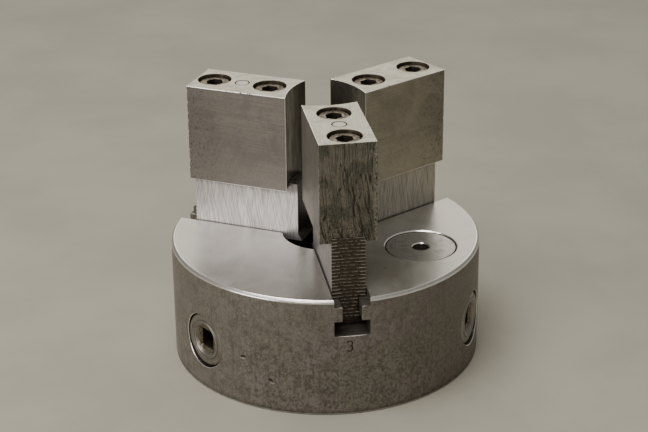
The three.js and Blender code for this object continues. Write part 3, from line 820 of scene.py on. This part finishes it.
def make_plug():
    """The disc in the face, with its small hole and a painted shadow line round it."""
    low, high = box_mm("face_plug")
    centre = (low + high) / 2
    r, z0, z1 = (high.x - low.x) / 2, low.z, high.z
    steel = turned_steel("plug_mottled", (0.42, 0.405, 0.375), (0.58, 0.565, 0.53), "Z",
                         (centre.x, centre.y, 0), 1.1, (0.28, 0.4), 0.45)
    profile = [(PLUG_HOLE_R, z0), (PLUG_HOLE_R, z1 - 0.5), (4.75, z1), (r - 0.75, z1), (r - 0.4, z1 - 0.14),
               (r, z1 - 0.9), (r, z0)]
    # Painted shadow: the plug's outer chamfer and side take the dark HOLE material, as the shadow in the gap
    # round it.
    marks = [3, 1, 0, 0, 2, 2, 0]
    plug = lathe("face_plug_disc", profile, 160, marks, (steel, BRIGHT_EDGE, HOLE, SLOT_STEEL))
    finish(shift(plug, centre.x, centre.y), "chuck_body", ["face_plug"])


def rounded_square(side, r, steps=5):
    """A square's outline with rounded corners."""
    points = []
    for corner in range(4):
        a0 = corner * 90
        cx = (side / 2 - r) * (1 if corner in (0, 3) else -1)
        cy = (side / 2 - r) * (1 if corner in (0, 1) else -1)
        for i in range(steps + 1):
            a = math.radians(a0 + 90 * i / steps)
            points.append((cx + r * math.cos(a), cy + r * math.sin(a)))
    return points


PINION_RING = turned_steel(
    "pinion_ring", (0.19, 0.178, 0.158), (0.33, 0.312, 0.28), "X", rough=(0.3, 0.42), stain=0.45)
SOCKET = plain_steel(
    "key_socket", (0.07, 0.06, 0.045), (0.29, 0.25, 0.19), (0.32, 0.46), 0.9, relief=0.03, seed=4)
TOOTHED = plain_steel("gear_oiled", (0.14, 0.13, 0.115), (0.34, 0.325, 0.3), (0.25, 0.4), 0.8, seed=14)

# The pinion's head as (radius, distance out): back, retaining groove, rounded edge, ring and funnel.
HEAD_BACK = [(0, 58.2), (9.2, 58.2), (9.2, 59.0), (13.6, 59.0), (14, 59.4)]
HEAD_GROOVE = [(14, 65.5), (12, 65.5), (12, 70.5), (14, 70.5)]
HEAD_EDGE = [(14, 77.3), (13.93, 77.75), (13.7, 78.15), (13.3, 78.45), (12.7, 78.62), (11.2, 78.72)]
HEAD_RING = [(10.85, 78.62), (10.6, 78.42), (10.3, 78.36), (10.1, 78.5), (9.95, 78.78), (9.7, 78.95),
             (9.35, 79.0), (9.0, 78.9), (8.7, 78.66)]
HEAD_FUNNEL = [(7.4, 77.7), (7.1, 77.6), (0, 77.6)]
SQUARE_STEPS = ((KEY_SQUARE, 0.5, 65), (KEY_SQUARE, 0.5, 76.5), (12.6, 1.8, 78.45))


def make_pinion(number, angle):
    """The CAD pinion's teeth and pilot, with a finer head that carries the square socket."""
    gear = local_copy(f"pinion_{number}", f"pinion_{number}_turned", angle, PINION_Z, (TOOTHED,))
    combine(gear, [cuboid("beyond", (PINION_HEAD_IN, -20, -20), (90, 20, 20), TOOTHED)])
    profile = HEAD_BACK + HEAD_GROOVE + HEAD_EDGE + HEAD_RING + HEAD_FUNNEL
    marks = [0] * (len(profile) - len(HEAD_FUNNEL)) + [1] * len(HEAD_FUNNEL)
    head = lathe("head", profile, 128, marks, (PINION_RING, SOCKET))
    square = [[(y, z, x) for y, z in rounded_square(side, r)] for side, r, x in SQUARE_STEPS]
    combine(head, [loft("square", square, SOCKET)])
    turn(head, math.radians(90), "Y")
    combine(gear, [head], "UNION")
    finish(gear, f"pinion_{number}_turning", [f"pinion_{number}"], angle, PINION_Z, 32)


def make_screw(node, body, x, angle, profile, segments, socket, marks=None, materials=(BLACKENED,)):
    """A turned screw. socket gives its hexagon's width across flats and the two ends of the cut."""
    flats, *ends = socket
    screw = lathe(f"{node}_fine", profile, segments, marks, materials)
    combine(screw, [round_cut("hex", [(flats / math.sqrt(3), z) for z in ends], 6, HOLE)])
    finish(shift(screw, x=x), body, [node], angle)


def make_rear_cover():
    """The cover, with its thrust ring notched for the pinions' pilots and six sunk screw holes."""
    low, high = box_mm("rear_cover")
    r, inner, bottom, top = high.x, BORE_R + PLAY, low.z, 9.7
    plate = [(inner, top), (inner, bottom + 0.4), (inner + 0.4, bottom), (r - 0.5, bottom),
             (r, bottom + 0.5), (r, top)]
    ring = [(38, top), (38, high.z - 0.3), (37.7, high.z), (33.3, high.z), (33, high.z - 0.3), (33, top)]
    cover = lathe("rear_cover_plate", plate + ring, 192, [1] + [0] * 11, (BACK, INSIDE))
    cutters = []
    for angle in PINIONS.values():
        cutters.append(along_x(round_cut("notch", [(NOTCH_R, 32), (NOTCH_R, 39)], 48, INSIDE), angle))
        above = cuboid("notch_top", (32, -NOTCH_R, PINION_Z + 0.01), (39, NOTCH_R, 40), INSIDE)
        cutters.append(turn(above, angle))
    for angle in COVER_SCREW_ANGLES:
        steps = [(4.3, bottom - 1), (4.1, bottom + 0.25), (2.3, bottom + 2.5), (2.3, 11)]
        cutters.append(turn(round_cut("sink", steps, 40, HOLE, COVER_SCREW_CIRCLE), angle))
    combine(cover, cutters)
    finish(cover, "chuck_body", ["rear_cover"])


def make_cover_screws():
    """Countersunk screws with hexagon sockets."""
    for i, angle in enumerate(COVER_SCREW_ANGLES):
        node = f"cover_screw_{i + 1}"
        z = box_mm(node)[0].z
        profile = [(0, z + 17), (2, z + 17), (2, z + 2.2), (3.75, z + 0.3), (3.6, z + 0.02), (3.2, z),
                   (0, z)]
        make_screw(node, "chuck_body", COVER_SCREW_CIRCLE, angle, profile, 48, (2.5, z - 1, z + 1.4))


def make_pinion_screws():
    """Grub screws that reach up into the pinions' grooves."""
    for number, angle in PINIONS.items():
        node = f"pinion_screw_{number}"
        z = box_mm(node)[0].z
        profile = [(0, z + 13), (1.8, z + 13), (2, z + 12.8), (2, z + 11.2), (3, z + 10.4), (3, z + 0.3),
                   (2.7, z), (0, z)]
        make_screw(node, "chuck_body", PINION_SCREW_CIRCLE, angle, profile, 40, (3, z - 1, z + 3))


def make_scroll():
    """The CAD scroll as it is, with turned steel."""
    steel = turned_steel("scroll_turned", (0.27, 0.255, 0.23), (0.46, 0.44, 0.41), scale=1.4, stain=0.5)
    scroll = local_copy("scroll_plate", "scroll_plate_turned", 0, 0, (steel,))
    finish(scroll, "scroll", ["scroll_plate"], smooth=24)


# ---------------------------------------------------------------- jaws


def rib_depth(seed):
    """Milled ribs across the end of a base jaw, crisp at the sides and broken up in the middle."""
    def depth(y, z):
        phase = TAU * (z + 0.3 * wobble(y * 0.12, z * 0.16, seed)) / RIB_PITCH
        crest = (0.5 + 0.5 * math.cos(phase + 0.5 * wobble(y * 0.5, z * 0.3, seed + 3))) ** 2.2
        worn = max(0.0, wobble(y * 0.7, z * 0.8, seed + 7) + 0.12) * (1 - min(1.0, abs(y) / 7.2) ** 3)
        top = 0.5 * min(1.0, max(0.0, (z - 86.5) / 3))
        return 0.04 + (0.42 - 0.3 * top) * (1 - crest * (1 - 0.6 * min(1.0, worn * 1.7))) + 0.1 * worn
    return depth


# Painted light and shade: each base jaw's tones follow how it is lit, pale on jaw 2 in the light and dark on
# jaw 1 in shade.
GROUND_TONES_PAINTED_LIGHT = {1: ((0.28, 0.26, 0.23), (0.58, 0.55, 0.49)), 2: ((0.5, 0.475, 0.475), (0.95, 0.92, 0.935)),
                3: ((0.34, 0.315, 0.305), (0.7, 0.665, 0.66))}


def make_base_jaw(number, angle):
    """The CAD jaw with its edges eased and its outer end ribbed."""
    name = f"base_jaw_{number}"
    ground = ground_jaw(number, *GROUND_TONES_PAINTED_LIGHT[number])
    jaw = local_copy(name, f"{name}_ground", angle, 0, (ground, INSIDE, BRIGHT_EDGE))
    # Only the sides and the end above the rails are ground.
    paint(jaw, lambda c, n, m: 0 if c.z > 59 and abs(n.z) < 0.5 and n.x > -0.3 else 1)
    bevel(jaw, 0.28, 2, lambda e: min(v.co.z for v in e.verts) > 51.2 and e.calc_length() > 2, 2)
    cutter = sheet_cutter("ribs", JAW_END, 10, 47, 93, rib_depth(number * 11.3), (44, 230), RIBBED)
    combine(jaw, [cutter])
    finish(jaw, f"jaw_{number}", [name], angle)


SAWN_BROWN = (0.25, 0.23, 0.19)


def saw_depth(seed, strength):
    """Wavy, mostly upright saw marks that lean over towards the bottom, and a chipped edge."""
    def depth(y, z):
        down = (BLOCK_TOP - z) / (BLOCK_TOP - BLOCK_BOTTOM)
        lean = -SAW_LEAN * down ** 2 + 0.7 * math.sin(down * 6 + seed)
        u = y + lean + 0.9 * wobble(y * 0.05, z * 0.07, seed)
        long = abs(wobble(u * 0.5, z * 0.022, seed + 2))
        short = abs(wobble(u * 0.95, z * 0.06, seed + 5))
        patch = 1.3 * wobble(y * 0.07 + 3, z * 0.045, seed + 9) + y * 0.05
        region = 0.55 + 0.45 * max(-1.0, min(1.0, patch))
        marks = max(0.0, 1 - long * 10) * 0.4 + max(0.0, 1 - short * 8) * 0.25
        rough = 0.5 + 0.5 * wobble(y * 1.1, z * 0.8, seed + 20)
        swell = 0.1 * (1 + wobble(y * 0.12, z * 0.06, seed + 12))
        edge = max(0.0, (y - 12.2) / 1.8) ** 2 + 0.5 * max(0.0, (-y - 12.8) / 1.2) ** 2
        chip = max(0.0, wobble(z * 0.5, 5, seed) + 0.12) * edge
        return 0.04 + strength * (marks * region * 0.6 + swell * 0.5 + 0.07 * rough) + 1.5 * chip
    return depth


def nicks(seed, count):
    """Small dents along the upper edges of a block."""
    rng = random.Random(seed)
    made = []
    for _ in range(count):
        side = rng.choice((-1, 1))
        x, y = rng.uniform(20, 68), side * (BLOCK_HALF + rng.uniform(-0.05, 0.2))
        r = rng.uniform(0.22, 0.5)
        steps = [(r * 0.5, BLOCK_TOP - r * 0.9), (r, BLOCK_TOP - r * 0.3), (r * 1.1, BLOCK_TOP + 0.3)]
        made.append(round_cut("nick", steps, 8, HOLE, x, y))
    return made


def block_outline():
    """The block seen from above: square, with a hollow inner end."""
    centre = GRIP_REACH - GRIP_R
    points = [(BLOCK_END, -BLOCK_HALF), (BLOCK_END, BLOCK_HALF)]
    for i in range(33):
        y = BLOCK_HALF - 2 * BLOCK_HALF * i / 32
        points.append((centre + math.sqrt(GRIP_R ** 2 - y ** 2), y))
    return points


def make_top_jaw(number, angle, side_painted_light, seed):
    """A block with its grip face, saddle, counterbores, dowel hole, nicks and sawn end."""
    name = f"top_jaw_{number}"
    brushed, pale, sawn = block_side(seed, side_painted_light), block_top(seed), sawn_end(seed, SAWN_BROWN)
    ends = [[(x, y, z) for x, y in block_outline()] for z in (BLOCK_BOTTOM, BLOCK_TOP)]
    jaw = loft(f"{name}_block", ends, brushed)
    side, top, grip, under, edge = range(5)
    for material in (pale, GRIP, INSIDE, BRIGHT_EDGE):
        jaw.data.materials.append(material)
    paint(jaw, lambda c, n, m: top if n.z > 0.9 else under if n.z < -0.9 else grip if n.x < -0.5 else side)
    bevel(jaw, 0.3, 2, lambda e: True, edge)
    straddle = JAW_HALF + PLAY
    saddle_low, saddle_high = (0, -straddle, BLOCK_BOTTOM - 1), (BLOCK_END + 1, straddle, JAW_TOP + PLAY)
    cutters = [cuboid("saddle", saddle_low, saddle_high, INSIDE)]
    head = box_mm(f"jaw_screw_{number}_inner")[1].z
    seat = head - SCREW_HEAD_H - PLAY
    clear = SCREW_R + 0.5
    profile = [(0, BLOCK_BOTTOM - 1), (clear, BLOCK_BOTTOM - 1), (clear, seat), (COUNTERBORE_R, seat),
               (COUNTERBORE_R, BLOCK_TOP - 0.2), (COUNTERBORE_R + 1.2, BLOCK_TOP + 1), (0, BLOCK_TOP + 1)]
    for x in SCREW_PLACES.values():
        # Painted shade: the counterbore's wall (COUNTERBORE) and its chamfered mouth (HOLE) are painted
        # dark.
        bore = lathe("counterbore", profile, 72, [0, 0, 0, 1, 0, 0, 0], (HOLE, COUNTERBORE))
        cutters.append(shift(bore, x=x))
    dowel_top = box_mm(f"jaw_dowel_{number}")[1].z
    hole_top = BLOCK_TOP + 1 if dowel_top > BLOCK_TOP - 1 else dowel_top + PLAY
    hole_r = DOWEL_R + 0.12
    steps = [(hole_r, BLOCK_BOTTOM - 1), (hole_r, min(hole_top, BLOCK_TOP - 0.3))]
    if hole_top > BLOCK_TOP:
        steps.append((4.9, BLOCK_TOP + 1))
    cutters.append(round_cut("dowel_hole", steps, 48, HOLE, DOWEL_PLACE))
    cutters += nicks(seed, 9)
    cutters.append(sheet_cutter("saw", BLOCK_END, 15, BLOCK_BOTTOM - 1, BLOCK_TOP + 1,
                                saw_depth(seed, 1.0 if number == 3 else 0.6), (140, 110), sawn))
    combine(jaw, cutters)
    finish(jaw, f"jaw_{number}", [name], angle)


def make_jaw_hardware(number, angle):
    """A jaw's two screws, rubbed bare on top, and its dowel with a dark ring."""
    body = f"jaw_{number}"
    for where, x in SCREW_PLACES.items():
        node = f"jaw_screw_{number}_{where}"
        low, high = box_mm(node)
        top, under = high.z, high.z - SCREW_HEAD_H
        shank = [(0, low.z), (SCREW_R - 1, low.z), (SCREW_R, low.z + 1), (SCREW_R, under)]
        head = [(SCREW_HEAD_R - 0.1, under), (SCREW_HEAD_R, under + 0.1), (SCREW_HEAD_R, top - 0.75),
                (SCREW_HEAD_R - 0.2, top - 0.3), (SCREW_HEAD_R - 0.7, top), (0, top)]
        socket = (HEXAGON, top - HEXAGON_DEPTH, top + 1)
        marks = [0] * 8 + [1, 1]
        make_screw(node, body, x, angle, shank + head, 72, socket, marks, (BLACKENED, RUBBED))
    node = f"jaw_dowel_{number}"
    low, high = box_mm(node)
    profile = [(0, low.z), (DOWEL_R - 0.4, low.z), (DOWEL_R, low.z + 0.6), (DOWEL_R, high.z - 0.3),
               (DOWEL_R - 0.3, high.z), (0, high.z)]
    steel = turned_steel(f"dowel_{number}", (0.42, 0.4, 0.37), (0.6, 0.585, 0.55), "Z",
                         (DOWEL_PLACE, 0, 0), 2.2)
    dowel = lathe(f"{node}_fine", profile, 56, [0, 0, 0, 1, 0], (steel, HOLE))
    finish(shift(dowel, x=DOWEL_PLACE), body, [node], angle)


make_plug()
make_rear_cover()
make_cover_screws()
make_pinion_screws()
make_scroll()
for n, a in PINIONS.items():
    make_pinion(n, a)
# Painted light and shade: each block's side tone is set to how brightly that side is lit.
SIDE_TONES_PAINTED_LIGHT = {1: (0.37, 0.34, 0.275), 2: (0.305, 0.28, 0.262), 3: (0.32, 0.3, 0.275)}
for n, a in JAWS.items():
    make_base_jaw(n, a)
    make_top_jaw(n, a, SIDE_TONES_PAINTED_LIGHT[n], 10 * n)
    make_jaw_hardware(n, a)

# ---------------------------------------------------------------- studio


def camera():
    """Looks down at the chuck from the front, a little to the left."""
    made = place("camera", bpy.data.cameras.new("camera"))
    azimuth, elevation, roll = math.radians(-9.11), math.radians(24.27), math.radians(-0.558)
    distance, sideways, target = 0.8839, -0.000618, Vector((0, 0, 0.07172))
    out = Vector((math.sin(azimuth) * math.cos(elevation), -math.cos(azimuth) * math.cos(elevation),
                  math.sin(elevation)))
    look = (-out).to_track_quat("-Z", "Y").to_matrix().to_4x4()
    look = look @ Matrix.Rotation(roll, 4, "Z")
    side = look.col[0].xyz
    look.translation = target + out * distance + side * sideways
    made.matrix_world = look
    made.data.lens = 94.7
    made.data.sensor_width = 36
    bpy.context.scene.camera = made


def area(name, where, target, size, power, color):
    light = bpy.data.lights.new(name, "AREA")
    light.shape = "RECTANGLE"
    light.size, light.size_y = size
    light.energy = power
    light.color = color
    made = place(name, light)
    made.location = where
    made.rotation_euler = (Vector(target) - Vector(where)).to_track_quat("-Z", "Y").to_euler()


def studio():
    f = Finish("floor_pale", metallic=0.0, roughness=0.75)
    cloud = f.noise(0.012)
    f.color(f.mix(f.ramp(cloud, 0.35, 0.65), (0.36, 0.337, 0.28), (0.40, 0.376, 0.315)))
    half = 2500
    floor = make("floor", [(-half, -half, 0), (half, -half, 0), (half, half, 0), (-half, half, 0)],
                 [(0, 1, 2, 3)], None, (f.material,))
    floor.data.transform(Matrix.Diagonal((MM, MM, MM, 1)))
    world = bpy.data.worlds.new("studio")
    bpy.context.scene.world = world
    world.use_nodes = True
    background = world.node_tree.nodes["Background"]
    background.inputs["Color"].default_value = (0.62, 0.6, 0.54, 1)
    background.inputs["Strength"].default_value = 0.5
    area("overhead", (-0.35, -0.25, 1.3), (0, 0, 0.06), (1.0, 0.8), 15, (1, 0.975, 0.93))
    area("back", (0.35, 2.0, 1.0), (0, 0, 0.1), (2.6, 1.0), 11, (1, 0.95, 0.85))
    area("left", (-1.1, -0.6, 0.45), (0, 0, 0.06), (0.7, 0.6), 5, (1, 0.97, 0.93))


camera()
studio()
